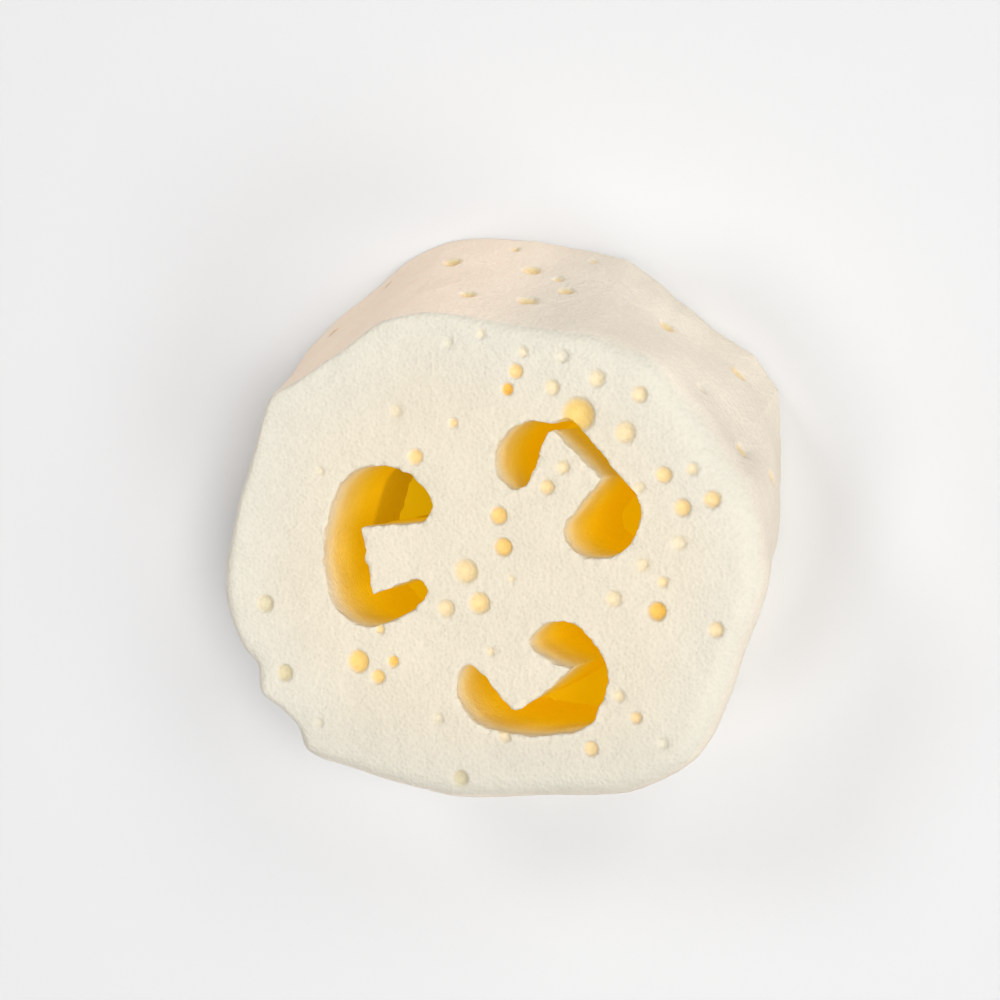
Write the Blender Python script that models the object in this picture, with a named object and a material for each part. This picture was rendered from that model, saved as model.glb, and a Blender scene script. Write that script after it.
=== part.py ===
"""A sea sponge cut flat above and below, lying on its underside, with three hooked channels right through it.

The lists are in millimetres and the model is in metres. +Z is up, out of the cut face, and the wall at +Y is
the one that shows above the face in a view from overhead.
"""

import math
import random

import bmesh
import bpy
from mathutils import Vector, noise
from mathutils.bvhtree import BVHTree

MM = 0.001

# Driving dimensions
THICKNESS = 40.0
FOOT_RADIUS = 1.5
FOOT_STEPS = 2
WALL_LEVELS = (0.2, 0.4, 0.6, 0.8)
EDGE_STEPS = 4
RIM_STEPS = 2
WALL_LUMP = 1.2
WALL_LUMP_SPAN = 14.0
CHANNEL_STEPS = 2

# The sponge's outline, clockwise from its sharpest corner: the place of the top of the wall, how far the foot of
# the wall lies from it, and the radius of the cut face's edge. A small radius is a crisp edge.
RIM = (
    (-43.7, 22.8, -12.0, 5.8, 0.8),
    (-37.6, 26.4, -10.0, 11.2, 0.8),
    (-28.2, 32.2, -10.6, 11.8, 0.8),
    (-20.8, 36.9, -9.0, 14.0, 0.8),
    (-13.4, 38.7, -7.7, 15.9, 1.0),
    (-8.1, 38.8, -6.2, 16.2, 1.2),
    (4.0, 36.4, -5.4, 17.8, 1.4),
    (13.0, 34.9, -5.2, 17.4, 1.8),
    (23.2, 33.2, -5.4, 16.6, 2.6),
    (33.6, 28.8, -5.4, 12.8, 4.0),
    (38.4, 23.4, -3.2, 12.4, 5.0),
    (42.6, 18.4, 1.2, 12.0, 6.0),
    (47.8, 10.6, 1.0, 13.0, 6.5),
    (53.2, 3.4, -4.2, 11.6, 6.5),
    (55.4, -5.4, -6.8, 9.4, 6.5),
    (55.6, -12.4, -7.2, 8.0, 6.5),
    (51.2, -24.6, -6.6, 7.6, 6.0),
    (48.4, -33.0, -6.0, 7.6, 6.0),
    (44.4, -42.0, -5.6, 7.8, 6.0),
    (41.0, -46.8, -5.4, 8.0, 6.0),
    (34.4, -51.2, -5.2, 8.4, 6.5),
    (26.4, -54.0, -5.0, 8.6, 6.5),
    (15.0, -54.8, -4.8, 8.8, 7.0),
    (0.0, -56.2, -4.6, 9.0, 7.0),
    (-9.4, -56.0, -4.4, 9.0, 6.5),
    (-17.8, -54.4, -4.2, 9.0, 6.0),
    (-28.6, -51.2, -4.0, 9.0, 5.0),
    (-38.0, -47.6, -3.6, 9.0, 3.5),
    (-39.8, -42.2, -3.6, 9.0, 2.0),
    (-43.4, -39.0, -3.4, 9.0, 2.0),
    (-47.6, -36.2, -3.2, 9.0, 2.5),
    (-48.4, -30.8, -3.0, 9.0, 3.0),
    (-51.9, -26.4, -2.8, 9.0, 3.0),
    (-54.7, -19.4, -2.6, 9.0, 3.0),
    (-54.8, -11.4, -2.6, 9.4, 2.5),
    (-53.4, -5.4, -3.2, 9.8, 2.0),
    (-51.0, 3.0, -4.6, 9.6, 1.5),
    (-48.6, 9.4, -6.8, 8.6, 1.2),
    (-46.6, 15.4, -9.4, 7.0, 1.0),
)

# The three channels: each bends round a square tongue. "R" is a round point of the outline and "C" a corner.
LEFT_CHANNEL = (
    (-33.2, -7.0, "R"),
    (-32.5, -13.0, "R"),
    (-30.2, -18.8, "R"),
    (-24.6, -21.6, "R"),
    (-18.8, -20.3, "R"),
    (-13.4, -17.4, "R"),
    (-11.5, -14.6, "R"),
    (-12.4, -12.4, "R"),
    (-13.8, -12.1, "C"),
    (-22.8, -15.3, "C"),
    (-25.1, -2.4, "C"),
    (-12.6, -1.3, "C"),
    (-10.5, 1.3, "R"),
    (-12.2, 5.6, "R"),
    (-16.6, 8.9, "R"),
    (-22.4, 9.5, "R"),
    (-28.2, 7.2, "R"),
    (-31.6, 0.4, "R"),
)
UPPER_CHANNEL = (
    (2.5, 11.0, "R"),
    (3.8, 7.0, "R"),
    (6.7, 5.2, "R"),
    (8.9, 6.6, "R"),
    (12.7, 15.5, "C"),
    (14.2, 16.6, "C"),
    (23.6, 7.5, "C"),
    (18.6, 1.6, "R"),
    (16.2, -2.4, "R"),
    (18.2, -6.2, "R"),
    (23.4, -7.5, "R"),
    (28.2, -5.6, "R"),
    (30.9, -1.2, "R"),
    (30.9, 3.6, "R"),
    (28.4, 6.8, "C"),
    (22.2, 13.9, "R"),
    (18.6, 17.3, "R"),
    (16.4, 18.7, "R"),
    (14.5, 17.8, "C"),
    (12.6, 18.2, "R"),
    (8.4, 18.1, "R"),
    (4.2, 15.2, "R"),
)
LOWER_CHANNEL = (
    (-5.8, -32.4, "R"),
    (-4.6, -36.6, "R"),
    (-1.4, -39.8, "R"),
    (4.6, -41.4, "R"),
    (13.6, -41.2, "R"),
    (20.6, -39.2, "R"),
    (23.3, -35.2, "R"),
    (24.4, -29.0, "R"),
    (22.3, -24.2, "R"),
    (18.6, -20.4, "R"),
    (14.4, -19.7, "R"),
    (10.4, -21.7, "R"),
    (9.2, -24.2, "R"),
    (11.4, -26.1, "R"),
    (17.4, -28.6, "C"),
    (10.6, -34.2, "R"),
    (5.6, -37.0, "C"),
    (3.2, -34.4, "C"),
    (-0.6, -30.0, "R"),
    (-3.4, -28.4, "R"),
)
CHANNELS = {
    "left_channel": LEFT_CHANNEL,
    "upper_channel": UPPER_CHANNEL,
    "lower_channel": LOWER_CHANNEL,
}

# Round pores in the cut face: place and radius
FACE_PORES = (
    (-45.9, -17.8, 1.9),
    (-41.9, -31.4, 1.9),
    (-26.1, -28.6, 2.3),
    (-21.9, -31.5, 1.5),
    (-18.8, -28.4, 1.3),
    (-5.2, -50.6, 1.9),
    (-0.9, -16.6, 2.3),
    (-3.6, -10.5, 2.5),
    (-7.7, -17.7, 1.9),
    (4.1, -5.7, 1.9),
    (3.2, 0.3, 1.9),
    (19.3, 19.9, 3.0),
    (28.4, 16.1, 2.3),
    (31.2, 23.2, 1.7),
    (22.9, 26.2, 1.9),
    (14.2, 24.5, 1.7),
    (6.9, 27.6, 1.5),
    (5.2, 24.2, 1.3),
    (8.4, 31.2, 1.1),
    (35.8, 8.3, 1.8),
    (41.2, 9.4, 1.5),
    (39.3, 2.2, 1.9),
    (44.9, 3.8, 1.9),
    (34.3, -17.2, 1.9),
    (35.5, -11.7, 1.1),
    (26.0, -15.0, 1.7),
    (45.6, -20.3, 1.7),
    (38.7, -4.3, 1.7),
    (16.2, 9.5, 1.3),
    (13.0, 5.7, 1.5),
    (-13.6, 11.4, 1.7),
    (-5.7, 17.9, 1.0),
    (-17.4, 20.2, 1.5),
    (-33.5, 8.4, 1.1),
    (-6.6, 33.1, 1.3),
    (21.2, -43.6, 1.5),
    (30.1, -37.3, 1.3),
    (26.9, -33.4, 1.3),
    (35.3, -42.0, 1.3),
    (-9.6, -39.1, 1.3),
    (1.3, -25.8, 1.1),
    (-34.6, -41.0, 1.1),
    (16.3, 30.3, 1.5),
    (31.6, -8.6, 1.4),
)
# How far the middle of a pore's ball stands over the surface, in radii
PORE_LIFT = 0.35
SMALL_PORE = 1.45
SMALL_PORE_FACETS = (6, 4)
PORE_FACETS = (8, 5)

# Pores that show in the wall: bearing from +X in degrees, height and radius
WALL_PORES = (
    (107.0, 14.0, 2.0),
    (88.0, 13.5, 1.9),
    (98.0, 30.0, 1.8),
    (82.5, 27.5, 2.3),
    (75.5, 21.0, 1.9),
    (80.0, 16.0, 1.3),
    (95.0, 5.5, 1.1),
    (76.0, 6.0, 1.1),
    (50.0, 16.0, 1.8),
    (31.5, 12.0, 1.7),
    (125.0, 9.0, 1.7),
    (139.0, 16.0, 1.6),
)

# Scattered pores, on the rest of the wall and on the underside
SCATTER_SEED = 11
HIDDEN_BEARINGS = (165.0, 375.0)
HIDDEN_HEIGHTS = (7.0, 30.0)
HIDDEN_WALL_PORES = 14
UNDERSIDE_PORES = 14
SCATTER_RADIUS = (1.2, 2.0)
SCATTER_GAP = 9.0
UNDERSIDE_REACH = 36.0
CHANNEL_CLEARANCE = 5.0
REST_PATCH = (-3.0, 8.0)
REST_PATCH_RADIUS = 9.0
WELL_OUTSIDE = 200.0


def clear_scene():
    for thing in list(bpy.data.objects):
        bpy.data.objects.remove(thing, do_unlink=True)


def new_collection(name):
    collection = bpy.data.collections.new(name)
    bpy.context.scene.collection.children.link(collection)
    return collection


def smooth_loop(corners, steps):
    """Points of a smooth closed loop through the corners, with this many to a span."""
    corners = [Vector(corner) for corner in corners]
    points = []
    for i, start in enumerate(corners):
        before = corners[i - 1]
        end = corners[(i + 1) % len(corners)]
        after = corners[(i + 2) % len(corners)]
        knots = [0.0]
        for a, b in ((before, start), (start, end), (end, after)):
            knots.append(knots[-1] + math.sqrt((b - a).length))
        for step in range(steps):
            t = knots[1] + (knots[2] - knots[1]) * step / steps
            row = [before, start, end, after]
            for reach in (1, 2, 3):
                row = [blend(row, knots, k, reach, t) for k in range(4 - reach)]
            points.append(row[0])
    return points


def blend(row, knots, k, reach, t):
    """One step of the pyramid of lerps that gives a point on the loop."""
    low = k if reach < 3 else 1
    high = k + reach if reach < 3 else 2
    share = (t - knots[low]) / (knots[high] - knots[low])
    return row[k].lerp(row[k + 1], share)


def inward_normals(loop):
    """Unit vectors into a clockwise loop."""
    normals = []
    for i in range(len(loop)):
        along = loop[(i + 1) % len(loop)] - loop[i - 1]
        normals.append(Vector((along.y, -along.x)).normalized())
    return normals


def wall_levels(edge_radius):
    """(height, inset) from the foot of the wall up to the cut face, for one point of the outline."""
    levels = []
    for step in range(FOOT_STEPS + 1):
        angle = step / FOOT_STEPS * math.pi / 2
        levels.append((FOOT_RADIUS * (1 - math.cos(angle)), FOOT_RADIUS * (1 - math.sin(angle))))
    top = THICKNESS - edge_radius
    for share in WALL_LEVELS:
        levels.append((FOOT_RADIUS + (top - FOOT_RADIUS) * share, 0.0))
    for step in range(EDGE_STEPS + 1):
        angle = step / EDGE_STEPS * math.pi / 2
        levels.append((top + edge_radius * math.sin(angle), edge_radius * (1 - math.cos(angle))))
    return levels


def wall_lump(point):
    """How far a lump stands out of the wall here. It fades out towards the two flat ends."""
    height = min(max(point.z / THICKNESS, 0.0), 1.0)
    return WALL_LUMP * math.sin(math.pi * height) * noise.noise(point / WALL_LUMP_SPAN)


def body_rings():
    """Rings of points from the underside to the cut face."""
    rim = smooth_loop([corner[:2] for corner in RIM], RIM_STEPS)
    traits = []
    for i, corner in enumerate(RIM):
        following = RIM[(i + 1) % len(RIM)]
        for step in range(RIM_STEPS):
            traits.append(Vector(corner[2:]).lerp(Vector(following[2:]), step / RIM_STEPS))
    inward = inward_normals(rim)
    columns = []
    for place, trait, into in zip(rim, traits, inward):
        column = []
        for height, inset in wall_levels(trait.z):
            lean = trait.xy * (1 - height / THICKNESS)
            point = (place + lean + into * inset).to_3d()
            point.z = height
            point -= into.to_3d() * wall_lump(point)
            column.append(point)
        columns.append(column)
    return [[point * MM for point in ring] for ring in zip(*columns)]


def make_body(collection):
    """The sponge before its channels and pores: a loft of rings, closed by the two flat cuts."""
    mesh = bpy.data.meshes.new("sponge")
    loft = bmesh.new()
    rings = [[loft.verts.new(point) for point in ring] for ring in body_rings()]
    for lower, upper in zip(rings, rings[1:]):
        for i in range(len(lower)):
            loft.faces.new((lower[i - 1], lower[i], upper[i], upper[i - 1]))
    loft.faces.new(rings[0])
    loft.faces.new(rings[-1])
    bmesh.ops.recalc_face_normals(loft, faces=loft.faces)
    loft.to_mesh(mesh)
    loft.free()
    body = bpy.data.objects.new("sponge", mesh)
    collection.objects.link(body)
    body.location = -underside_middle(mesh)
    return body


def underside_middle(mesh):
    """The point on the ground under the middle of the mesh's box."""
    xs = [vert.co.x for vert in mesh.vertices]
    ys = [vert.co.y for vert in mesh.vertices]
    return Vector(((min(xs) + max(xs)) / 2, (min(ys) + max(ys)) / 2, 0.0))


def sponge_material():
    material = bpy.data.materials.new("cream_sponge")
    material.use_nodes = True
    shader = material.node_tree.nodes["Principled BSDF"]
    shader.inputs["Base Color"].default_value = (0.86, 0.79, 0.66, 1.0)
    shader.inputs["Roughness"].default_value = 0.95
    shader.inputs["Metallic"].default_value = 0.0
    return material


def hide_cutter(cutter):
    cutter.hide_render = True
    cutter.display_type = "WIRE"


def channel_cutter(name, outline, collection):
    """A straight upright solid of the channel's outline, longer than the sponge is thick."""
    curve = bpy.data.curves.new(name, "CURVE")
    curve.dimensions = "2D"
    curve.fill_mode = "BOTH"
    curve.extrude = THICKNESS * MM
    curve.resolution_u = CHANNEL_STEPS
    spline = curve.splines.new("BEZIER")
    spline.bezier_points.add(len(outline) - 1)
    spline.use_cyclic_u = True
    for point, (x, y, kind) in zip(spline.bezier_points, outline):
        point.co = (x * MM, y * MM, 0.0)
        handle = "AUTO" if kind == "R" else "VECTOR"
        point.handle_left_type = handle
        point.handle_right_type = handle
    drawn = bpy.data.objects.new(name + "_outline", curve)
    drawn.location.z = THICKNESS * MM / 2
    collection.objects.link(drawn)
    cutter = solid_from_curve(drawn, name, collection)
    hide_cutter(cutter)
    return cutter


def solid_from_curve(drawn, name, collection):
    """A mesh object in place of the curve, with its caps joined to its sides."""
    bpy.context.view_layer.update()
    graph = bpy.context.evaluated_depsgraph_get()
    mesh = bpy.data.meshes.new_from_object(drawn.evaluated_get(graph))
    joined = bmesh.new()
    joined.from_mesh(mesh)
    bmesh.ops.remove_doubles(joined, verts=joined.verts, dist=0.001 * MM)
    bmesh.ops.recalc_face_normals(joined, faces=joined.faces)
    joined.to_mesh(mesh)
    joined.free()
    solid = bpy.data.objects.new(name, mesh)
    collection.objects.link(solid)
    solid.matrix_world = drawn.matrix_world
    bpy.data.objects.remove(drawn, do_unlink=True)
    return solid


def surface_tree(body):
    surface = bmesh.new()
    surface.from_mesh(body.data)
    tree = BVHTree.FromBMesh(surface)
    surface.free()
    return tree


def hit(tree, start, direction):
    """Where a ray from outside meets the sponge, and the way out of the surface there."""
    place, normal, _, _ = tree.ray_cast(start * MM, direction)
    return place / MM, normal


def on_face(tree, x, y):
    return hit(tree, Vector((x, y, 2 * THICKNESS)), Vector((0.0, 0.0, -1.0)))


def on_underside(tree, x, y):
    return hit(tree, Vector((x, y, -THICKNESS)), Vector((0.0, 0.0, 1.0)))


def on_wall(tree, bearing, height):
    outward = Vector((math.cos(math.radians(bearing)), math.sin(math.radians(bearing)), 0.0))
    return hit(tree, outward * WELL_OUTSIDE + Vector((0.0, 0.0, height)), -outward)


def far_from(place, others, gap):
    return all((place - other).length > gap for other in others)


def hidden_wall_pores(tree, scatter, taken):
    """Scattered pores on the stretch of wall that a view from overhead hides."""
    pores = []
    while len(pores) < HIDDEN_WALL_PORES:
        place, normal = on_wall(tree, scatter.uniform(*HIDDEN_BEARINGS), scatter.uniform(*HIDDEN_HEIGHTS))
        if far_from(place, taken, SCATTER_GAP):
            taken.append(place)
            pores.append((place, normal, scatter.uniform(*SCATTER_RADIUS)))
    return pores


def underside_pores(tree, scatter, taken):
    """Scattered pores in the underside, clear of the channels and of one patch left flat to rest on."""
    rims = []
    for outline in CHANNELS.values():
        corners = [Vector((x, y)) for x, y, _ in outline]
        for i, corner in enumerate(corners):
            rims += [corner, (corner + corners[i - 1]) / 2]
    pores = []
    while len(pores) < UNDERSIDE_PORES:
        x = scatter.uniform(-UNDERSIDE_REACH, UNDERSIDE_REACH)
        y = scatter.uniform(-UNDERSIDE_REACH, UNDERSIDE_REACH)
        spot = Vector((x, y))
        in_channel = any(inside(spot, outline) for outline in CHANNELS.values())
        by_channel = not far_from(spot, rims, CHANNEL_CLEARANCE)
        on_patch = (spot - Vector(REST_PATCH)).length < REST_PATCH_RADIUS
        if in_channel or by_channel or on_patch:
            continue
        place, normal = on_underside(tree, x, y)
        if far_from(place, taken, SCATTER_GAP):
            taken.append(place)
            pores.append((place, normal, scatter.uniform(*SCATTER_RADIUS)))
    return pores


def inside(spot, outline):
    """Whether a spot lies inside a channel's outline."""
    crossings = 0
    for i, (x, y, _) in enumerate(outline):
        last_x, last_y, _ = outline[i - 1]
        if (y > spot.y) != (last_y > spot.y):
            crossings += spot.x < last_x + (x - last_x) * (spot.y - last_y) / (y - last_y)
    return crossings % 2 == 1


def all_pores(tree):
    """(place on the surface, way out, radius) of every pore, in millimetres."""
    scatter = random.Random(SCATTER_SEED)
    pores = [(*on_face(tree, x, y), radius) for x, y, radius in FACE_PORES]
    pores += [(*on_wall(tree, bearing, height), radius) for bearing, height, radius in WALL_PORES]
    taken = [pore[0] for pore in pores]
    pores += hidden_wall_pores(tree, scatter, taken)
    pores += underside_pores(tree, scatter, taken)
    return pores


def pore_cutter(body, collection):
    """Every pore's bubble, in one mesh. Each is a ball sunk a little less than half way into the surface."""
    mesh = bpy.data.meshes.new("pores")
    bubbles = bmesh.new()
    for place, normal, radius in all_pores(surface_tree(body)):
        around, down = SMALL_PORE_FACETS if radius < SMALL_PORE else PORE_FACETS
        made = bmesh.ops.create_uvsphere(bubbles, u_segments=around, v_segments=down, radius=radius * MM)
        upright = normal.to_track_quat("Z", "Y").to_matrix()
        bmesh.ops.rotate(bubbles, verts=made["verts"], cent=(0.0, 0.0, 0.0), matrix=upright)
        centre = place + normal * radius * PORE_LIFT
        bmesh.ops.translate(bubbles, verts=made["verts"], vec=centre * MM)
    bubbles.to_mesh(mesh)
    bubbles.free()
    cutter = bpy.data.objects.new("pores", mesh)
    collection.objects.link(cutter)
    hide_cutter(cutter)
    return cutter


def cut(body, cutter):
    cutter.parent = body
    modifier = body.modifiers.new("cut_" + cutter.name, "BOOLEAN")
    modifier.operation = "DIFFERENCE"
    modifier.solver = "EXACT"
    modifier.object = cutter


def main():
    clear_scene()
    parts = new_collection("sea_sponge")
    cutters = new_collection("cutters")
    body = make_body(parts)
    body.data.materials.append(sponge_material())
    for name, outline in CHANNELS.items():
        cut(body, channel_cutter(name, outline, cutters))
    cut(body, pore_cutter(body, cutters))


main()
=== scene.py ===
"""A sea sponge on a pale table: a cream slab cut flat, with three channels through it, painted amber inside as
light soaked through the foam, and round pores.

The lists are in millimetres, from a point near the middle of the sponge, and the scene is in metres.
"""

import math
import random

import bmesh
import bpy
import numpy as np
from mathutils import Matrix, Vector, noise
from mathutils.bvhtree import BVHTree


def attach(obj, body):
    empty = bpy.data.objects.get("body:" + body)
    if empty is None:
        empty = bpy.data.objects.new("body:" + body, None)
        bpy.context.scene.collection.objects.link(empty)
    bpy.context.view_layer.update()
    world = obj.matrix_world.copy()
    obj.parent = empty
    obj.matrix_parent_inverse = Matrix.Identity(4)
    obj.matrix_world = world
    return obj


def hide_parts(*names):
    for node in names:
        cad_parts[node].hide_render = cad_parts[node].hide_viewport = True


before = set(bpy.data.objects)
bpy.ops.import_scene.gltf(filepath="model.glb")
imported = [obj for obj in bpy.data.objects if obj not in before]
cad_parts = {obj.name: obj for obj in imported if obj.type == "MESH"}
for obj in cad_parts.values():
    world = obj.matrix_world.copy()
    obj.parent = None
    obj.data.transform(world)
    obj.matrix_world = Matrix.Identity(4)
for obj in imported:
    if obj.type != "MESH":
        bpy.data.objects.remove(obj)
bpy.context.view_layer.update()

MM = 0.001
# From the point that the lists start from to the middle of the sponge's box
SHIFT = Vector((1.568, 0.25, 0.0))

# The slab: its thickness, the rounding at its foot, the steps it is built in, and the lumps in its wall
THICKNESS = 40.0
FOOT_RADIUS = 1.5
FOOT_STEPS = 3
WALL_STEPS = 16
EDGE_STEPS = 8
RIM_STEPS = 8
WALL_LUMP = 1.2
WALL_LUMP_SPAN = 14.0

# The outline, clockwise from its sharpest corner: the place of the top of the wall, how far the foot of the wall
# lies from it, and the radius of the cut face's edge
RIM = (
    (-43.7, 22.8, -12.0, 5.8, 0.8),
    (-37.6, 26.4, -10.0, 11.2, 0.8),
    (-28.2, 32.2, -10.6, 11.8, 0.8),
    (-20.8, 36.9, -9.0, 14.0, 0.8),
    (-13.4, 38.7, -7.7, 15.9, 1.0),
    (-8.1, 38.8, -6.2, 16.2, 1.2),
    (4.0, 36.4, -5.4, 17.8, 1.4),
    (13.0, 34.9, -5.2, 17.4, 1.8),
    (23.2, 33.2, -5.4, 16.6, 2.6),
    (33.6, 28.8, -5.4, 12.8, 4.0),
    (38.4, 23.4, -3.2, 12.4, 5.0),
    (42.6, 18.4, 1.2, 12.0, 6.0),
    (47.8, 10.6, 1.0, 13.0, 6.5),
    (53.2, 3.4, -4.2, 11.6, 6.5),
    (55.4, -5.4, -6.8, 9.4, 6.5),
    (55.6, -12.4, -7.2, 8.0, 6.5),
    (51.2, -24.6, -6.6, 7.6, 6.0),
    (48.4, -33.0, -6.0, 7.6, 6.0),
    (44.4, -42.0, -5.6, 7.8, 6.0),
    (41.0, -46.8, -5.4, 8.0, 6.0),
    (34.4, -51.2, -5.2, 8.4, 6.5),
    (26.4, -54.0, -5.0, 8.6, 6.5),
    (15.0, -54.8, -4.8, 8.8, 7.0),
    (0.0, -56.2, -4.6, 9.0, 7.0),
    (-9.4, -56.0, -4.4, 9.0, 6.5),
    (-17.8, -54.4, -4.2, 9.0, 6.0),
    (-28.6, -51.2, -4.0, 9.0, 5.0),
    (-38.0, -47.6, -3.6, 9.0, 3.5),
    (-39.8, -42.2, -3.6, 9.0, 2.0),
    (-43.4, -39.0, -3.4, 9.0, 2.0),
    (-47.6, -36.2, -3.2, 9.0, 2.5),
    (-48.4, -30.8, -3.0, 9.0, 3.0),
    (-51.9, -26.4, -2.8, 9.0, 3.0),
    (-54.7, -19.4, -2.6, 9.0, 3.0),
    (-54.8, -11.4, -2.6, 9.4, 2.5),
    (-53.4, -5.4, -3.2, 9.8, 2.0),
    (-51.0, 3.0, -4.6, 9.6, 1.5),
    (-48.6, 9.4, -6.8, 8.6, 1.2),
    (-46.6, 15.4, -9.4, 7.0, 1.0),
)

# The three channels: "R" is a round point of the outline and "C" a corner
LEFT_CHANNEL = (
    (-33.2, -7.0, "R"),
    (-32.5, -13.0, "R"),
    (-30.2, -18.8, "R"),
    (-24.6, -21.6, "R"),
    (-18.8, -20.3, "R"),
    (-13.4, -17.4, "R"),
    (-11.5, -14.6, "R"),
    (-12.4, -12.4, "R"),
    (-13.8, -12.1, "C"),
    (-22.8, -15.3, "C"),
    (-25.1, -2.4, "C"),
    (-12.6, -1.3, "C"),
    (-10.5, 1.3, "R"),
    (-12.2, 5.6, "R"),
    (-16.6, 8.9, "R"),
    (-22.4, 9.5, "R"),
    (-28.2, 7.2, "R"),
    (-31.6, 0.4, "R"),
)
UPPER_CHANNEL = (
    (2.5, 11.0, "R"),
    (3.8, 7.0, "R"),
    (6.7, 5.2, "R"),
    (8.9, 6.6, "R"),
    (12.7, 15.5, "C"),
    (14.2, 16.6, "C"),
    (23.6, 7.5, "C"),
    (18.6, 1.6, "R"),
    (16.2, -2.4, "R"),
    (18.2, -6.2, "R"),
    (23.4, -7.5, "R"),
    (28.2, -5.6, "R"),
    (30.9, -1.2, "R"),
    (30.9, 3.6, "R"),
    (28.4, 6.8, "C"),
    (22.2, 13.9, "R"),
    (18.6, 17.3, "R"),
    (16.4, 18.7, "R"),
    (14.5, 17.8, "C"),
    (12.6, 18.2, "R"),
    (8.4, 18.1, "R"),
    (4.2, 15.2, "R"),
)
LOWER_CHANNEL = (
    (-5.8, -32.4, "R"),
    (-4.6, -36.6, "R"),
    (-1.4, -39.8, "R"),
    (4.6, -41.4, "R"),
    (13.6, -41.2, "R"),
    (20.6, -39.2, "R"),
    (23.3, -35.2, "R"),
    (24.4, -29.0, "R"),
    (22.3, -24.2, "R"),
    (18.6, -20.4, "R"),
    (14.4, -19.7, "R"),
    (10.4, -21.7, "R"),
    (9.2, -24.2, "R"),
    (11.4, -26.1, "R"),
    (17.4, -28.6, "C"),
    (10.6, -34.2, "R"),
    (5.6, -37.0, "C"),
    (3.2, -34.4, "C"),
    (-0.6, -30.0, "R"),
    (-3.4, -28.4, "R"),
)
CHANNELS = {
    "left_channel": LEFT_CHANNEL,
    "upper_channel": UPPER_CHANNEL,
    "lower_channel": LOWER_CHANNEL,
}
CHANNEL_STEPS = 10
# Points of a channel's solid this near are one, points this near its top are on its rim, and a face is part of
# a cap where its normal is more upright than this
WELD_GAP = 0.001
LEVEL_GAP = 0.01
CAP_NORMAL = 0.5

# Pores in the cut face: place, radius at the mouth, depth, and how amber it is inside, as painted soaked-through
# light, or how olive, as painted shade, if under 0
FACE_PORES = (
    (-45.9, -17.8, 1.9, 1.5, -0.6),
    (-41.9, -31.4, 1.9, 1.5, -0.9),
    (-26.1, -28.6, 2.3, 1.9, 0.75),
    (-21.9, -31.5, 1.5, 1.6, 0.65),
    (-18.8, -28.4, 1.3, 1.6, 0.82),
    (-5.2, -50.6, 1.9, 1.3, -0.8),
    (-0.9, -16.6, 2.3, 1.6, 0.52),
    (-3.6, -10.5, 2.5, 1.5, 0.43),
    (-7.7, -17.7, 1.9, 1.2, 0.34),
    (4.1, -5.7, 1.9, 1.8, 0.73),
    (3.2, 0.3, 1.9, 1.8, 0.69),
    (19.2, 19.4, 3.6, 2.1, 0.75),
    (28.4, 16.1, 2.3, 1.2, 0.35),
    (31.2, 23.2, 1.7, 1.2, 0.32),
    (22.9, 26.2, 1.9, 1.2, 0.29),
    (14.2, 24.5, 1.7, 1.1, 0.27),
    (6.9, 27.6, 1.5, 1.4, 0.57),
    (5.2, 24.2, 1.3, 2.0, 0.9),
    (8.4, 31.2, 1.1, 0.9, 0.18),
    (35.8, 8.3, 1.8, 1.5, 0.5),
    (41.2, 9.4, 1.5, 1.1, 0.29),
    (39.3, 2.2, 1.9, 1.6, 0.56),
    (44.9, 3.8, 1.9, 1.5, 0.5),
    (34.3, -17.2, 1.9, 2.2, 0.9),
    (35.5, -11.7, 1.1, 0.9, 0.38),
    (26.0, -15.0, 1.7, 0.9, 0.24),
    (45.6, -20.3, 1.7, 1.3, 0.35),
    (38.7, -4.3, 1.7, 0.8, 0.16),
    (16.2, 9.5, 1.3, 1.0, 0.26),
    (13.0, 5.7, 1.5, 1.3, 0.44),
    (-13.6, 11.4, 1.7, 1.5, 0.56),
    (-5.7, 17.9, 1.0, 1.2, 0.38),
    (-17.4, 20.2, 1.5, 0.7, 0.16),
    (-33.5, 8.4, 1.1, 0.6, -0.35),
    (-6.6, 33.1, 1.3, 0.7, -0.2),
    (21.2, -43.6, 1.5, 1.4, 0.43),
    (30.1, -37.3, 1.3, 1.4, 0.4),
    (26.9, -33.4, 1.3, 1.0, 0.23),
    (35.3, -42.0, 1.3, 0.8, -0.15),
    (-9.6, -39.1, 1.3, 0.8, -0.3),
    (1.3, -25.8, 1.1, 0.8, 0.21),
    (-34.6, -41.0, 1.1, 0.8, -0.25),
    (16.3, 30.3, 1.5, 0.9, -0.25),
    (31.6, -8.6, 1.4, 0.8, 0.2),
    (0.2, 34.8, 1.1, 0.6, 0.15),
    (40.2, 24.2, 1.5, 0.8, -0.2),
    (4.1, -42.0, 1.5, 0.8, 0.23),
    (5.8, -11.8, 0.8, 0.7, 0.2),
    (-21.3, -22.2, 0.9, 0.9, 0.5),
    (31.2, 6.0, 1.3, 0.7, 0.2),
)

# Pores that show in the wall: bearing from +X in degrees, height and radius
WALL_PORES = (
    (107.0, 14.0, 2.0),
    (88.0, 13.5, 1.9),
    (98.0, 30.0, 1.8),
    (82.5, 27.5, 2.3),
    (75.5, 21.0, 1.9),
    (80.0, 16.0, 1.3),
    (95.0, 5.5, 1.1),
    (76.0, 6.0, 1.1),
    (50.0, 16.0, 1.8),
    (31.5, 12.0, 1.7),
    (125.0, 9.0, 1.7),
    (139.0, 16.0, 1.6),
)

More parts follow.
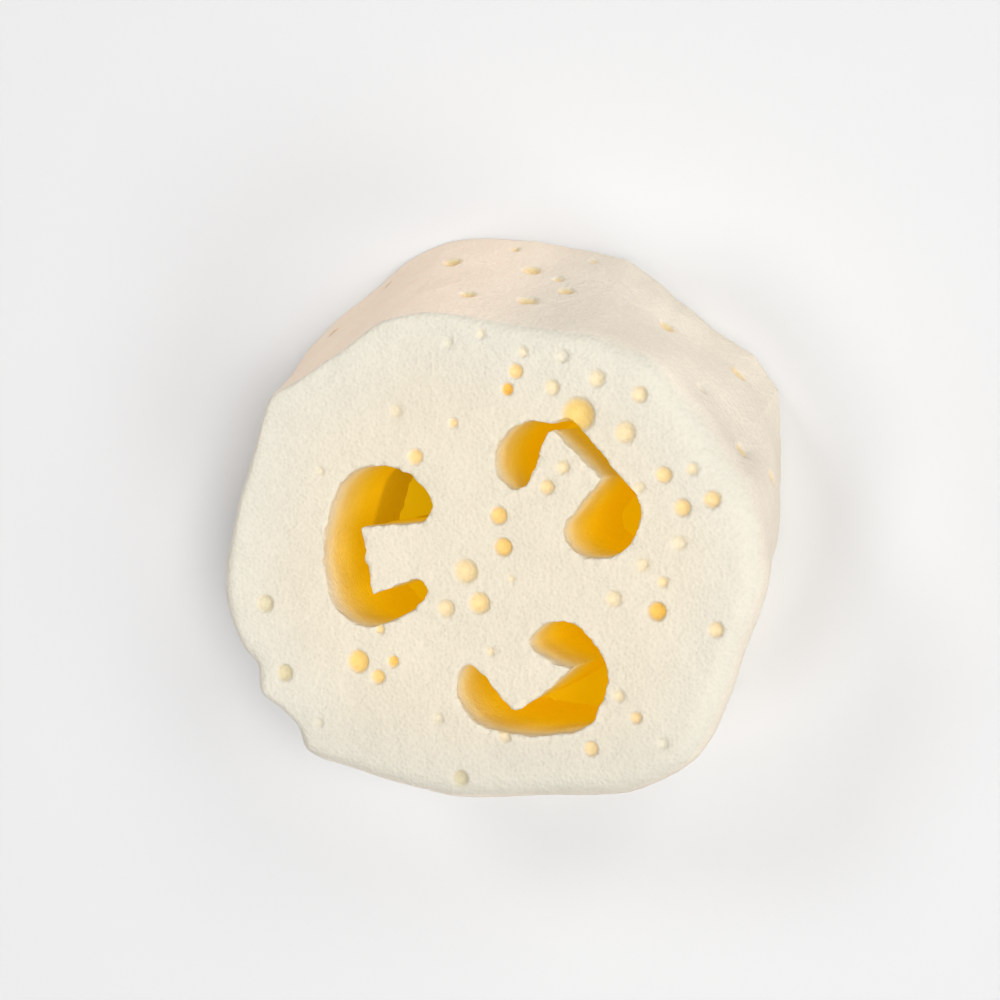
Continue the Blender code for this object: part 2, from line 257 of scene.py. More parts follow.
# Scattered pores, on the rest of the wall and on the underside, where one patch is left flat to rest on
SCATTER_SEED = 11
HIDDEN_BEARINGS = (165.0, 375.0)
HIDDEN_HEIGHTS = (7.0, 30.0)
HIDDEN_WALL_PORES = 14
UNDERSIDE_PORES = 14
SCATTER_RADIUS = (1.2, 2.0)
SCATTER_GAP = 9.0
UNDERSIDE_REACH = 36.0
CHANNEL_CLEARANCE = 5.0
REST_PATCH = (-3.0, 8.0)
REST_PATCH_RADIUS = 9.0
# The depth of every pore outside the cut face, in radii, and how amber it is, as painted soaked-through light
WALL_PORE_DEPTH = 0.55
WALL_PORE_TONE = 0.5
PORE_SUBDIVISIONS = 3
# Where the rays that find the surface start: beside the sponge, above it and below it
WELL_OUTSIDE = 200.0
WELL_ABOVE = 2 * THICKNESS
WELL_BELOW = -THICKNESS

# The skin: how finely the solid is remeshed, and the waves that roughen it as (height, span)
VOXEL = 0.42
TRIANGLES = 192000
SKIN_WAVES = ((0.20, 9.0), (0.11, 3.2), (0.08, 1.4))
# The channels' rims are ragged: in full up to the first reach, and not at all past the second
RAG = 0.42
RAG_SPAN = 1.6
RAG_REACH = (0.4, 1.6)
LEAST_RAG = 0.01

# What is painted. Two values in one name are where a change starts and where it ends.
# A channel by distance from its outline, and the wall by how far its normal turns from upright
CHANNEL_REACH = (0.5, 1.3)
WALL_TILT = (0.25, 0.6)
# How far a pore's tint reaches beside its mouth, over it and under its floor, and the share of depth it is full at
TINT_BESIDE = 0.3
TINT_OVER = 0.2
TINT_UNDER = 0.6
TINT_FULL = 0.75
# The cut face warms in colour over this distance in from its outline: painted shade greyer by the outline, painted
# soaked-through light warmer inward
WARMTH_REACH = (2.0, 20.0)
COARSE_RIM_STEPS = 2
# Stretches of wall, as a bearing in degrees and the cosines where they start and are in full: the first takes a
# painted glow where the lamps leave it dark, the second a painted shade
SHADED_WALL = (135.0, 0.4, 0.9)
SHADE_PAINTED_WALL = (-30.0, 0.4, 0.75)
PAINTED_WALL_SHADE = 0.13
# Painted shade: the edge of the cut face towards -Y is a little darker, where it rounds away from the light
SHADED_EDGE_REACH = (30.0, 48.0)
PAINTED_EDGE_SHADE = 0.07
# Painted shadow: the left channel's upper arm is darker low down, in the tongue's shadow, and its painted glow
# weaker
TONGUE_SHADOW_DEPTH = (24.0, 27.0)
TONGUE_SHADOW_RIGHT = -14.0
TONGUE_SHADOW_FRONT = -8.0
TONGUE_SHADOW_SHADE = 0.22
TONGUE_SHADOW_GLOW = 0.38


def direction(bearing, height):
    """The unit vector towards a bearing from +X and a height above level, both in degrees."""
    flat = math.cos(math.radians(height))
    turn = math.radians(bearing)
    return Vector((flat * math.cos(turn), flat * math.sin(turn), math.sin(math.radians(height))))


def smooth_loop(corners, steps):
    """Points of a smooth closed loop through the corners, with this many to a span."""
    corners = [Vector(corner) for corner in corners]
    points = []
    for i, start in enumerate(corners):
        before = corners[i - 1]
        end = corners[(i + 1) % len(corners)]
        after = corners[(i + 2) % len(corners)]
        knots = [0.0]
        for a, b in ((before, start), (start, end), (end, after)):
            knots.append(knots[-1] + math.sqrt((b - a).length))
        for step in range(steps):
            t = knots[1] + (knots[2] - knots[1]) * step / steps
            row = [before, start, end, after]
            for reach in (1, 2, 3):
                row = [blend(row, knots, k, reach, t) for k in range(4 - reach)]
            points.append(row[0])
    return points


def blend(row, knots, k, reach, t):
    """One step of the pyramid of lerps that gives a point on the loop."""
    low = k if reach < 3 else 1
    high = k + reach if reach < 3 else 2
    share = (t - knots[low]) / (knots[high] - knots[low])
    return row[k].lerp(row[k + 1], share)


def inward_normals(loop):
    """Unit vectors into a clockwise loop."""
    normals = []
    for i in range(len(loop)):
        along = loop[(i + 1) % len(loop)] - loop[i - 1]
        normals.append(Vector((along.y, -along.x)).normalized())
    return normals


def wall_levels(edge_radius):
    """(height, inset) from the foot of the wall up to the cut face, for one point of the outline."""
    levels = []
    for step in range(FOOT_STEPS + 1):
        angle = step / FOOT_STEPS * math.pi / 2
        levels.append((FOOT_RADIUS * (1 - math.cos(angle)), FOOT_RADIUS * (1 - math.sin(angle))))
    top = THICKNESS - edge_radius
    for step in range(1, WALL_STEPS):
        levels.append((FOOT_RADIUS + (top - FOOT_RADIUS) * step / WALL_STEPS, 0.0))
    for step in range(EDGE_STEPS + 1):
        angle = step / EDGE_STEPS * math.pi / 2
        levels.append((top + edge_radius * math.sin(angle), edge_radius * (1 - math.cos(angle))))
    return levels


def wall_lump(point):
    """How far a lump stands out of the wall here. It fades out towards the two flat ends."""
    height = min(max(point.z / THICKNESS, 0.0), 1.0)
    return WALL_LUMP * math.sin(math.pi * height) * noise.noise(point / WALL_LUMP_SPAN)


def body_rings():
    """Rings of points from the underside to the cut face."""
    rim = smooth_loop([corner[:2] for corner in RIM], RIM_STEPS)
    traits = []
    for i, corner in enumerate(RIM):
        following = RIM[(i + 1) % len(RIM)]
        for step in range(RIM_STEPS):
            traits.append(Vector(corner[2:]).lerp(Vector(following[2:]), step / RIM_STEPS))
    columns = []
    for place, trait, into in zip(rim, traits, inward_normals(rim)):
        column = []
        for height, inset in wall_levels(trait.z):
            lean = trait.xy * (1 - height / THICKNESS)
            point = (place + lean + into * inset).to_3d()
            point.z = height
            point -= into.to_3d() * wall_lump(point)
            column.append(point)
        columns.append(column)
    return list(zip(*columns))


def new_object(name, data):
    thing = bpy.data.objects.new(name, data)
    bpy.context.scene.collection.objects.link(thing)
    return thing


def slab():
    """The sponge before its channels and pores, in millimetres: a loft closed by the two flat cuts."""
    loft = bmesh.new()
    rings = [[loft.verts.new(point) for point in ring] for ring in body_rings()]
    for lower, upper in zip(rings, rings[1:]):
        for i in range(len(lower)):
            loft.faces.new((lower[i - 1], lower[i], upper[i], upper[i - 1]))
    loft.faces.new(rings[0])
    loft.faces.new(rings[-1])
    bmesh.ops.recalc_face_normals(loft, faces=loft.faces)
    mesh = bpy.data.meshes.new("sponge_body")
    loft.to_mesh(mesh)
    loft.free()
    return new_object("sponge_body", mesh)


def outline_curve(name, outline):
    curve = bpy.data.curves.new(name, "CURVE")
    curve.dimensions = "2D"
    curve.fill_mode = "BOTH"
    curve.extrude = THICKNESS
    curve.resolution_u = CHANNEL_STEPS
    spline = curve.splines.new("BEZIER")
    spline.bezier_points.add(len(outline) - 1)
    spline.use_cyclic_u = True
    for point, (x, y, kind) in zip(spline.bezier_points, outline):
        point.co = (x, y, 0.0)
        handle = "AUTO" if kind == "R" else "VECTOR"
        point.handle_left_type = handle
        point.handle_right_type = handle
    return curve


def channel_cutter(name, outline):
    """A straight upright solid of the channel's outline, and that outline as points."""
    drawn = new_object(name + "_outline", outline_curve(name, outline))
    bpy.context.view_layer.update()
    graph = bpy.context.evaluated_depsgraph_get()
    mesh = bpy.data.meshes.new_from_object(drawn.evaluated_get(graph))
    bpy.data.objects.remove(drawn, do_unlink=True)
    joined = bmesh.new()
    joined.from_mesh(mesh)
    bmesh.ops.remove_doubles(joined, verts=joined.verts, dist=WELD_GAP)
    bmesh.ops.recalc_face_normals(joined, faces=joined.faces)
    top = max(vert.co.z for vert in joined.verts)
    edges = [
        (edge.verts[0].co.xy.copy(), edge.verts[1].co.xy.copy())
        for edge in joined.edges
        if min(vert.co.z for vert in edge.verts) > top - LEVEL_GAP and not all_flat(edge)
    ]
    bmesh.ops.translate(joined, verts=joined.verts, vec=(0.0, 0.0, THICKNESS / 2))
    joined.to_mesh(mesh)
    joined.free()
    return new_object(name, mesh), edges


def all_flat(edge):
    """Whether the edge lies inside a cap, and not round its outline."""
    return all(abs(face.normal.z) > CAP_NORMAL for face in edge.link_faces)


def surface_tree(body):
    surface = bmesh.new()
    surface.from_mesh(body.data)
    tree = BVHTree.FromBMesh(surface)
    surface.free()
    return tree


def hit(tree, start, direction):
    """Where a ray from outside meets the sponge, and the way out of the surface there."""
    place, normal, _, _ = tree.ray_cast(start, direction)
    return place, normal


def on_face(tree, x, y):
    return hit(tree, Vector((x, y, WELL_ABOVE)), Vector((0.0, 0.0, -1.0)))


def on_underside(tree, x, y):
    return hit(tree, Vector((x, y, WELL_BELOW)), Vector((0.0, 0.0, 1.0)))


def on_wall(tree, bearing, height):
    outward = direction(bearing, 0.0)
    return hit(tree, outward * WELL_OUTSIDE + Vector((0.0, 0.0, height)), -outward)


def far_from(place, others, gap):
    return all((place - other).length > gap for other in others)


def hidden_wall_pores(tree, scatter, taken):
    """Scattered pores on the stretch of wall that a view from overhead hides."""
    pores = []
    while len(pores) < HIDDEN_WALL_PORES:
        place, normal = on_wall(tree, scatter.uniform(*HIDDEN_BEARINGS), scatter.uniform(*HIDDEN_HEIGHTS))
        if far_from(place, taken, SCATTER_GAP):
            taken.append(place)
            pores.append((place, normal, scatter.uniform(*SCATTER_RADIUS)))
    return pores


def underside_pores(tree, scatter, taken):
    """Scattered pores in the underside, clear of the channels and of one patch left flat to rest on."""
    rims = []
    for outline in CHANNELS.values():
        corners = [Vector((x, y)) for x, y, _ in outline]
        for i, corner in enumerate(corners):
            rims += [corner, (corner + corners[i - 1]) / 2]
    pores = []
    while len(pores) < UNDERSIDE_PORES:
        x = scatter.uniform(-UNDERSIDE_REACH, UNDERSIDE_REACH)
        y = scatter.uniform(-UNDERSIDE_REACH, UNDERSIDE_REACH)
        spot = Vector((x, y))
        in_channel = any(inside(spot, outline) for outline in CHANNELS.values())
        by_channel = not far_from(spot, rims, CHANNEL_CLEARANCE)
        on_patch = (spot - Vector(REST_PATCH)).length < REST_PATCH_RADIUS
        if in_channel or by_channel or on_patch:
            continue
        place, normal = on_underside(tree, x, y)
        if far_from(place, taken, SCATTER_GAP):
            taken.append(place)
            pores.append((place, normal, scatter.uniform(*SCATTER_RADIUS)))
    return pores


def inside(spot, outline):
    """Whether a spot lies inside a channel's outline."""
    crossings = 0
    for i, (x, y, _) in enumerate(outline):
        last_x, last_y, _ = outline[i - 1]
        if (y > spot.y) != (last_y > spot.y):
            crossings += spot.x < last_x + (x - last_x) * (spot.y - last_y) / (y - last_y)
    return crossings % 2 == 1


def all_pores(tree):
    """(place on the surface, way out, radius, depth, tone) of every pore, in millimetres."""
    scatter = random.Random(SCATTER_SEED)
    pores = [(*on_face(tree, x, y), radius, depth, tone) for x, y, radius, depth, tone in FACE_PORES]
    rest = [(*on_wall(tree, bearing, height), radius) for bearing, height, radius in WALL_PORES]
    taken = [pore[0] for pore in pores + rest]
    rest += hidden_wall_pores(tree, scatter, taken)
    rest += underside_pores(tree, scatter, taken)
    for place, normal, radius in rest:
        pores.append((place, normal, radius, radius * WALL_PORE_DEPTH, WALL_PORE_TONE))
    return pores


def pore_ball(radius, depth):
    """(half width, half height, height of the middle) of the ball that cuts a pore with this mouth and depth."""
    if depth >= radius:
        return radius, depth, 0.0
    ball = (radius**2 + depth**2) / (2 * depth)
    return ball, ball, ball - depth


def pore_cutters(pores):
    """The pores' balls in a few meshes, so that no two in one mesh meet."""
    batches = []
    for place, normal, radius, depth, _ in pores:
        wide, tall, lift = pore_ball(radius, depth)
        centre = place + normal * lift
        reach = max(wide, tall)
        for batch in batches:
            if all((centre - other).length > reach + near for _, other, near, _, _ in batch):
                break
        else:
            batch = []
            batches.append(batch)
        batch.append((normal, centre, reach, wide, tall))
    cutters = []
    for i, batch in enumerate(batches):
        mesh = bpy.data.meshes.new(f"pores_{i}")
        balls = bmesh.new()
        for normal, centre, _, wide, tall in batch:
            turn = normal.to_track_quat("Z", "Y").to_matrix().to_4x4()
            shape = Matrix.Translation(centre) @ turn @ Matrix.Diagonal((wide, wide, tall, 1.0))
            bmesh.ops.create_icosphere(balls, subdivisions=PORE_SUBDIVISIONS, radius=1.0, matrix=shape)
        balls.to_mesh(mesh)
        balls.free()
        cutters.append(new_object(f"pores_{i}", mesh))
    return cutters


def bake(thing):
    """Puts the object's modifiers into its mesh."""
    graph = bpy.context.evaluated_depsgraph_get()
    mesh = bpy.data.meshes.new_from_object(thing.evaluated_get(graph))
    thing.modifiers.clear()
    thing.data = mesh


def cut_all(body, cutters):
    for cutter in cutters:
        modifier = body.modifiers.new(cutter.name, "BOOLEAN")
        modifier.operation = "DIFFERENCE"
        modifier.solver = "MANIFOLD"
        modifier.object = cutter
    bake(body)
    for cutter in cutters:
        bpy.data.objects.remove(cutter, do_unlink=True)


def remesh(body):
    modifier = body.modifiers.new("remesh", "REMESH")
    modifier.mode = "VOXEL"
    modifier.voxel_size = VOXEL
    bake(body)


def thin_out(body):
    """Takes the mesh down to the number of triangles it may have."""
    body.data.calc_loop_triangles()
    modifier = body.modifiers.new("thin_out", "DECIMATE")
    modifier.ratio = TRIANGLES / len(body.data.loop_triangles)
    bake(body)


def places_of(mesh):
    flat = np.zeros(len(mesh.vertices) * 3)
    mesh.vertices.foreach_get("co", flat)
    return flat.reshape(-1, 3)


def normals_of(mesh):
    flat = np.zeros(len(mesh.vertices) * 3)
    mesh.vertices.foreach_get("normal", flat)
    return flat.reshape(-1, 3)


def distance_to(spots, edges):
    """How far each spot lies from the nearest of the edges, seen from above."""
    nearest = np.full(len(spots), np.inf)
    for start, end in edges:
        start = np.array(start)
        along = np.array(end) - start
        share = np.clip((spots - start) @ along / (along @ along), 0, 1)
        gap = np.linalg.norm(spots - start - share[:, None] * along, axis=1)
        nearest = np.minimum(nearest, gap)
    return nearest


def smoothstep(low, high, values):
    share = np.clip((values - low) / (high - low), 0, 1)
    return share * share * (3 - 2 * share)


def roughen(body, edges):
    """Uneven skin all over, and ragged rims round the channels."""
    mesh = body.data
    places = places_of(mesh)
    normals = normals_of(mesh)
    to_rim = distance_to(places[:, :2], edges)
    from_cut = np.minimum(THICKNESS - places[:, 2], places[:, 2])
    rag = RAG * (1 - smoothstep(*RAG_REACH, to_rim)) * (1 - smoothstep(*RAG_REACH, from_cut))
    moved = places.copy()
    for i, (place, normal) in enumerate(zip(places, normals)):
        point = Vector(place)
        height = sum(high * noise.noise(point / span) for high, span in SKIN_WAVES)
        moved[i] += normal * height
        if rag[i] > LEAST_RAG:
            moved[i] += rag[i] * np.array(noise.noise_vector(point / RAG_SPAN))
    moved[:, 2] = np.clip(moved[:, 2], 0.0, None)
    mesh.vertices.foreach_set("co", moved.ravel())
    mesh.update()


def rim_gap(places):
    """How far each point lies from the outline of the cut face, seen from above."""
    rim = smooth_loop([corner[:2] for corner in RIM], COARSE_RIM_STEPS)
    return distance_to(places[:, :2], [(rim[i - 1], point) for i, point in enumerate(rim)])


def turned_to(places, bearing, none, all_of_it):
    """How far each place lies towards a bearing, as 0 to 1 between two cosines."""
    towards = np.array([math.cos(math.radians(bearing)), math.sin(math.radians(bearing))])
    flat = places[:, :2]
    reach = np.maximum(np.linalg.norm(flat, axis=1), 1.0)
    return smoothstep(none, all_of_it, flat @ towards / reach)


def pore_tints(places, pores):
    """How much painted amber light and painted olive shade each place takes, where it lies in a pore."""
    amber = np.zeros(len(places))
    olive = np.zeros(len(places))
    for place, normal, radius, depth, tone in pores:
        away = places - np.array(place)
        up = away @ np.array(normal)
        side = np.linalg.norm(away - up[:, None] * np.array(normal), axis=1)
        near = (side < radius + TINT_BESIDE) & (up < TINT_OVER) & (up > -depth - TINT_UNDER)
        tint = abs(tone) * smoothstep(0.0, TINT_FULL * depth, -up[near])
        held = amber if tone > 0 else olive
        held[near] = np.maximum(held[near], tint)
    return amber, olive


def paint_traits(body, edges, pores):
    """Stores what the material asks of each point: its depth, its tints, its stretch of surface, and its painted
    shade and shadow.
    """
    mesh = body.data
    places = places_of(mesh)
    in_channel = 1 - smoothstep(*CHANNEL_REACH, distance_to(places[:, :2], edges))
    depth = in_channel * np.clip(THICKNESS - places[:, 2], 0, THICKNESS) / THICKNESS
    amber, olive = pore_tints(places, pores)
    wall = (1 - in_channel) * smoothstep(*WALL_TILT, 1 - np.abs(normals_of(mesh)[:, 2]))
    # Painted shade on the stretch of wall towards bearing -30
    wall_shade = wall * turned_to(places, *SHADE_PAINTED_WALL)
    # Painted shade along the cut face's edge towards -Y
    edge_shade = (1 - wall) * (1 - in_channel) * smoothstep(*SHADED_EDGE_REACH, -places[:, 1])
    # Painted shadow of the tongue, low in the left channel's upper arm
    corner = in_channel * smoothstep(*TONGUE_SHADOW_DEPTH, THICKNESS - places[:, 2])
    corner *= (places[:, 0] < TONGUE_SHADOW_RIGHT) & (places[:, 1] > TONGUE_SHADOW_FRONT)
    traits = {
        "channel_depth": depth,
        "amber": amber,
        "olive": olive,
        "warmth": smoothstep(*WARMTH_REACH, rim_gap(places)),
        "wall": wall,
        "shaded_wall": wall * turned_to(places, *SHADED_WALL),
        "shade": 1 - PAINTED_WALL_SHADE * wall_shade - PAINTED_EDGE_SHADE * edge_shade - TONGUE_SHADOW_SHADE * corner,
        "glow_share": 1 - TONGUE_SHADOW_GLOW * corner,
    }
    for name, values in traits.items():
        layer = mesh.attributes.new(name, "FLOAT", "POINT")
        layer.data.foreach_set("value", values.astype(np.float32))


def build_sponge():
    body = slab()
    pores = all_pores(surface_tree(body))
    cutters = []
    edges = []
    for name, outline in CHANNELS.items():
        cutter, outline_edges = channel_cutter(name, outline)
        cutters.append(cutter)
        edges += outline_edges
    cut_all(body, cutters + pore_cutters(pores))
    remesh(body)
    roughen(body, edges)
    thin_out(body)
    paint_traits(body, edges, pores)
    body.data.transform(Matrix.Scale(MM, 4) @ Matrix.Translation(SHIFT))
    for face in body.data.polygons:
        face.use_smooth = True
    return body


def linear(red, green, blue):
    """A screen colour, 0 to 255, as Blender takes it."""
    shares = [value / 255 for value in (red, green, blue)]
    return (*[s / 12.92 if s < 0.04045 else ((s + 0.055) / 1.055) ** 2.4 for s in shares], 1.0)


class Recipe:
    """A material's nodes. Where a value is wanted, it takes a socket or plain numbers."""

    def __init__(self, name):
        self.material = bpy.data.materials.new(name)
        self.material.use_nodes = True
        self.tree = self.material.node_tree
        self.shader = self.tree.nodes["Principled BSDF"]

    def add(self, kind):
        return self.tree.nodes.new(kind)

    def feed(self, socket, value):
        if isinstance(value, bpy.types.NodeSocket):
            self.tree.links.new(value, socket)
        else:
            socket.default_value = value

    def value(self, name):
        """What the mesh stores under this name."""
        node = self.add("ShaderNodeAttribute")
        node.attribute_name = name
        return node.outputs["Fac"]

    def noise(self, where, span, detail):
        node = self.add("ShaderNodeTexNoise")
        node.inputs["Scale"].default_value = 1.0 / span
        node.inputs["Detail"].default_value = detail
        self.feed(node.inputs["Vector"], where)
        return node.outputs["Fac"]

    def mix(self, share, low, high):
        node = self.add("ShaderNodeMix")
        node.data_type = "RGBA"
        for name, given in (("Factor_Float", share), ("A_Color", low), ("B_Color", high)):
            socket = next(s for s in node.inputs if s.identifier == name)
            self.feed(socket, given)
        return next(s for s in node.outputs if s.identifier == "Result_Color")

    def scale(self, colour, by):
        node = self.add("ShaderNodeVectorMath")
        node.operation = "SCALE"
        self.feed(node.inputs["Vector"], colour)
        self.feed(node.inputs["Scale"], by)
        return node.outputs["Vector"]

    def spread(self, value, low, high, to_low=0.0, to_high=1.0):
        """The value's way from low to high, eased, as a number from to_low to to_high."""
        node = self.add("ShaderNodeMapRange")
        node.interpolation_type = "SMOOTHSTEP"
        self.feed(node.inputs["Value"], value)
        for name, given in (("From Min", low), ("From Max", high), ("To Min", to_low), ("To Max", to_high)):
            node.inputs[name].default_value = given
        return node.outputs["Result"]

    def ramp(self, value, stops):
        node = self.add("ShaderNodeValToRGB")
        elements = node.color_ramp.elements
        while len(elements) < len(stops):
            elements.new(0.5)
        for element, (place, colour) in zip(elements, stops):
            element.position = place
            element.color = linear(*colour)
        self.feed(node.inputs["Fac"], value)
        return node.outputs["Color"]


# Colours as a screen shows them. The wall's cream is lighter than the face's as painted light, and the face's is
# greyer by its outline and warmer inward as painted shade and soaked-through light. A channel's go by depth as a
# share of the sponge's thickness, painted light that stands in for light soaked through the foam and bounced inside
# the channel, and take over from the skin's within its lip.
WARM_CREAM = (234, 223, 201)
EDGE_CREAM = (230, 224, 208)
LIT_WALL_CREAM = (250, 238, 220)
CHANNEL_LIP = 0.03
CHANNEL_SOAKED_LIGHT_COLOURS = (
    (0.0, (234, 222, 202)),
    (0.05, (235, 216, 180)),
    (0.12, (234, 207, 146)),
    (0.18, (231, 198, 110)),
    (0.26, (229, 192, 80)),
    (0.33, (228, 188, 60)),
    (0.39, (227, 184, 36)),
    (0.46, (226, 180, 20)),
    (1.0, (224, 174, 18)),
)
# Painted glow: emission by channel depth that stands in for light soaked through the foam
CHANNEL_SOAKED_GLOW = (
    (0.0, (0, 0, 0)),
    (0.05, (55, 66, 56)),
    (0.12, (80, 86, 56)),
    (0.18, (88, 84, 42)),
    (0.26, (100, 94, 28)),
    (0.39, (120, 110, 10)),
    (0.5, (132, 116, 0)),
    (1.0, (132, 116, 0)),
)
# Painted glow that lifts the stretch of wall facing bearing 135, which the lamps leave dark
SHADED_WALL_SOAKED_GLOW = (110, 83, 63)
# Painted light and shade in the pores: a glow and an amber that stand in for light soaked through the foam, and an
# olive painted shade
PORE_SOAKED_GLOW = (62, 46, 0)
GLOW_STRENGTH = 1.0
PORE_SOAKED_AMBER = (238, 198, 90)
PORE_SHADE_OLIVE = (214, 202, 164)
# The patterns in the skin: span in metres, detail, the stretch of values used, and the shades or roughness it gives
MOTTLE_SPAN = 0.011
MOTTLE_DETAIL = 3.0
MOTTLE_STRETCH = (0.35, 0.65)
MOTTLE_SHADES = (0.985, 1.015)
GRAIN_SPAN = 0.0014
GRAIN_DETAIL = 4.0
GRAIN_STRETCH = (0.3, 0.7)
GRAIN_ROUGHNESS = (0.85, 1.0)
CELL_SPAN = 0.00075
CELL_STRETCH = (0.0, 0.8)
CELL_SHADES = (0.97, 1.02)
BUMP_STRENGTH = 0.5
BUMP_HEIGHT = 0.0003
SKIN_SPECULAR = 0.15


def sponge_material():
    recipe = Recipe("sponge_skin")
    shader = recipe.shader
    where = recipe.add("ShaderNodeTexCoord").outputs["Object"]
    mottle = recipe.noise(where, MOTTLE_SPAN, MOTTLE_DETAIL)
    grain = recipe.noise(where, GRAIN_SPAN, GRAIN_DETAIL)
    cells = recipe.add("ShaderNodeTexVoronoi")
    cells.inputs["Scale"].default_value = 1.0 / CELL_SPAN
    recipe.feed(cells.inputs["Vector"], where)

    warmth = recipe.value("warmth")
    wall = recipe.value("wall")
    # Painted shade and soaked-through light on the face: greyer by its outline, warmer inward; the wall's lighter
    # cream is painted light
    face = recipe.mix(warmth, linear(*EDGE_CREAM), linear(*WARM_CREAM))
    skin = recipe.mix(wall, face, linear(*LIT_WALL_CREAM))
    skin = recipe.scale(skin, recipe.spread(mottle, *MOTTLE_STRETCH, *MOTTLE_SHADES))

    # The channels' colour by depth is painted light soaked through the foam
    depth = recipe.value("channel_depth")
    inner = recipe.ramp(depth, CHANNEL_SOAKED_LIGHT_COLOURS)
    skin = recipe.mix(recipe.spread(depth, 0.0, CHANNEL_LIP), skin, inner)

    # Painted soaked-through light and painted shade in the pores
    skin = recipe.mix(recipe.value("amber"), skin, linear(*PORE_SOAKED_AMBER))
    skin = recipe.mix(recipe.value("olive"), skin, linear(*PORE_SHADE_OLIVE))
    cell_shade = recipe.spread(cells.outputs["Distance"], *CELL_STRETCH, *CELL_SHADES)
    skin = recipe.scale(skin, cell_shade)
    # Painted shade and the tongue's painted shadow darken the base colour
    recipe.feed(shader.inputs["Base Color"], recipe.scale(skin, recipe.value("shade")))

    # Painted glow: the channels', the shaded wall's and the pores' emission stand in for light soaked through the
    # foam
    glow = recipe.ramp(depth, CHANNEL_SOAKED_GLOW)
    glow = recipe.mix(recipe.value("shaded_wall"), glow, linear(*SHADED_WALL_SOAKED_GLOW))
    glow = recipe.mix(recipe.value("amber"), glow, linear(*PORE_SOAKED_GLOW))
    # The tongue's painted shadow weakens the painted glow
    recipe.feed(shader.inputs["Emission Color"], recipe.scale(glow, recipe.value("glow_share")))
    shader.inputs["Emission Strength"].default_value = GLOW_STRENGTH

    relief = recipe.add("ShaderNodeMath")
    relief.operation = "ADD"
    recipe.feed(relief.inputs[0], cells.outputs["Distance"])
    recipe.feed(relief.inputs[1], grain)
    bump = recipe.add("ShaderNodeBump")
    bump.inputs["Strength"].default_value = BUMP_STRENGTH
    bump.inputs["Distance"].default_value = BUMP_HEIGHT
    recipe.feed(bump.inputs["Height"], relief.outputs["Value"])
    recipe.feed(shader.inputs["Normal"], bump.outputs["Normal"])

    recipe.feed(shader.inputs["Roughness"], recipe.spread(grain, *GRAIN_STRETCH, *GRAIN_ROUGHNESS))
    shader.inputs["Specular IOR Level"].default_value = SKIN_SPECULAR
    return recipe.material


# The table, in metres
FLOOR_SIDE = 4.0
FLOOR_COLOUR = (0.8, 0.8, 0.8, 1.0)
FLOOR_ROUGHNESS = 0.9
FLOOR_SPECULAR = 0.1
# Under the sponge it is painted with the amber light that soaks through, in its colour and a painted glow: from
# none to all of it by distance to the middle
SOAKED_REACH = (0.047, 0.042)
SOAKED_COLOUR = (0.75, 0.5, 0.02, 1.0)
SOAKED_GLOW = (0.26, 0.2, 0.0, 1.0)
NO_GLOW = (0.0, 0.0, 0.0, 1.0)


def table_material():
    recipe = Recipe("pale_table")
    shader = recipe.shader
    where = recipe.add("ShaderNodeTexCoord").outputs["Object"]
    length = recipe.add("ShaderNodeVectorMath")
    length.operation = "LENGTH"
    recipe.feed(length.inputs[0], where)
    # A painted pool of the amber light that soaks through the sponge
    soaked = recipe.spread(length.outputs["Value"], *SOAKED_REACH)
    recipe.feed(shader.inputs["Base Color"], recipe.mix(soaked, FLOOR_COLOUR, SOAKED_COLOUR))
    recipe.feed(shader.inputs["Emission Color"], recipe.mix(soaked, NO_GLOW, SOAKED_GLOW))
    shader.inputs["Emission Strength"].default_value = GLOW_STRENGTH
    shader.inputs["Roughness"].default_value = FLOOR_ROUGHNESS
    shader.inputs["Specular IOR Level"].default_value = FLOOR_SPECULAR
    return recipe.material


def make_floor():
    corners = [(x * FLOOR_SIDE / 2, y * FLOOR_SIDE / 2, 0.0) for x, y in ((-1, -1), (1, -1), (1, 1), (-1, 1))]
    mesh = bpy.data.meshes.new("table")
    mesh.from_pydata(corners, [], [(0, 1, 2, 3)])
    floor = new_object("table", mesh)
    mesh.materials.append(table_material())


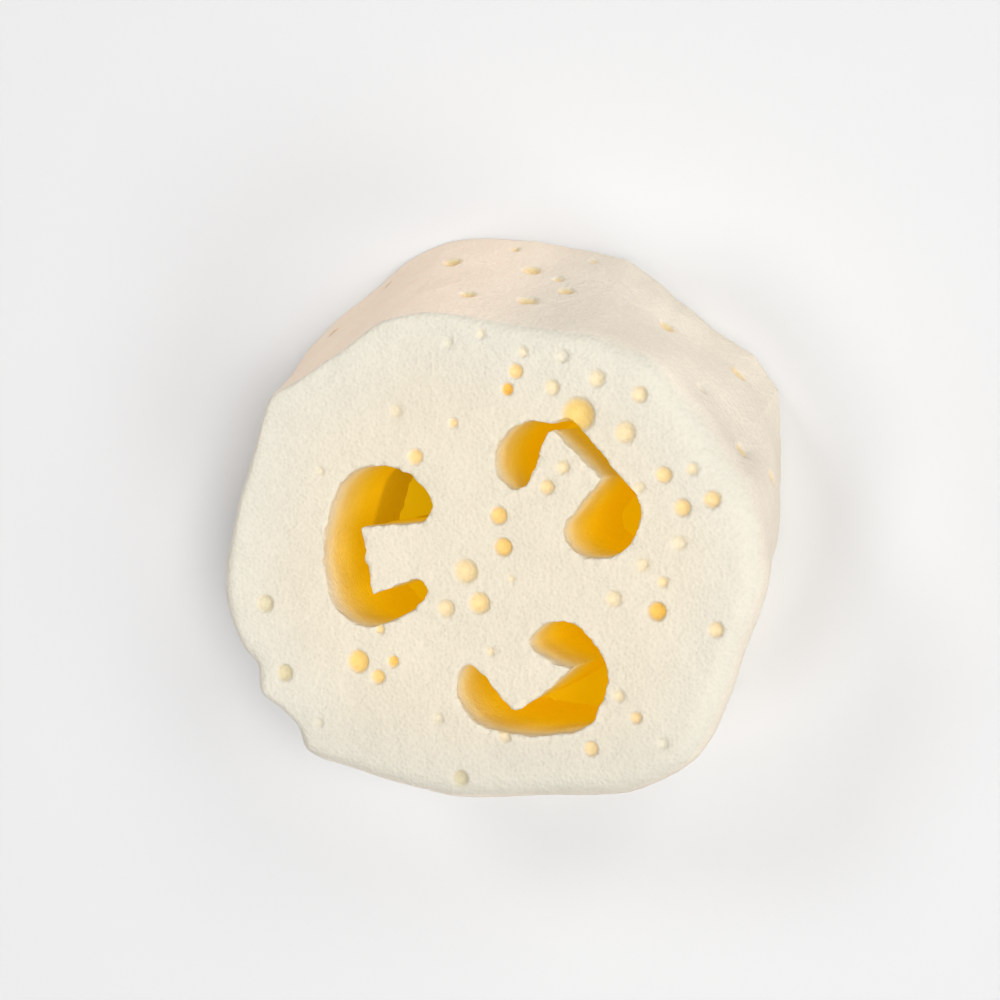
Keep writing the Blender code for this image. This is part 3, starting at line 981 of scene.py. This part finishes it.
# Lights: bearing from +X and height above the table in degrees, and power in watts. All are round, as wide and as
# far off as this in metres.
LIGHTS = {
    "key": (0.0, 60.0, 80.0),
    "key_low": (0.0, 35.0, 22.0),
    "side_near": (-45.0, 35.0, 30.0),
    "side_far": (45.0, 35.0, 23.0),
    "fill": (-135.0, 60.0, 35.0),
    "fill_low": (-180.0, 35.0, 8.0),
    "fill_far": (135.0, 45.0, 30.0),
}
LIGHT_WIDTH = 1.5
LIGHT_DISTANCE = 4.0
WORLD_COLOUR = (1.0, 1.0, 1.0, 1.0)
WORLD_STRENGTH = 0.05


def make_lights():
    for name, (bearing, height, power) in LIGHTS.items():
        lamp = bpy.data.lights.new(name, "AREA")
        lamp.shape = "DISK"
        lamp.size = LIGHT_WIDTH
        lamp.energy = power
        holder = new_object(name, lamp)
        towards = direction(bearing, height)
        holder.location = towards * LIGHT_DISTANCE
        holder.rotation_euler = towards.to_track_quat("Z", "Y").to_euler()
    world = bpy.data.worlds.new("studio")
    world.use_nodes = True
    background = world.node_tree.nodes["Background"]
    background.inputs["Color"].default_value = WORLD_COLOUR
    background.inputs["Strength"].default_value = WORLD_STRENGTH
    bpy.context.scene.world = world


# The camera: its place, the directions of the picture's right and top, its lens and film in millimetres, and the
# nearest it sees in metres
CAMERA_PLACE = Vector((153.968, 32.65, 461.7)) * MM
CAMERA_RIGHT = Vector((0.9432, -0.0111, -0.332))
CAMERA_UP = Vector((-0.0111, 0.9978, -0.065))
LENS = 85.0
SENSOR = 36.0
NEAREST = 0.01


def make_camera():
    data = bpy.data.cameras.new("camera")
    data.lens = LENS
    data.sensor_width = SENSOR
    data.clip_start = NEAREST
    camera = new_object("camera", data)
    right = CAMERA_RIGHT.normalized()
    back = right.cross(CAMERA_UP).normalized()
    up = back.cross(right)
    turn = Matrix((right, up, back)).transposed().to_4x4()
    camera.matrix_world = Matrix.Translation(CAMERA_PLACE) @ turn
    bpy.context.scene.camera = camera


def main():
    sponge = build_sponge()
    sponge.data.materials.clear()
    sponge.data.materials.append(sponge_material())
    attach(sponge, "root")
    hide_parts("sponge")
    make_floor()
    make_lights()
    make_camera()
    bpy.context.scene.view_settings.view_transform = "Standard"


main()
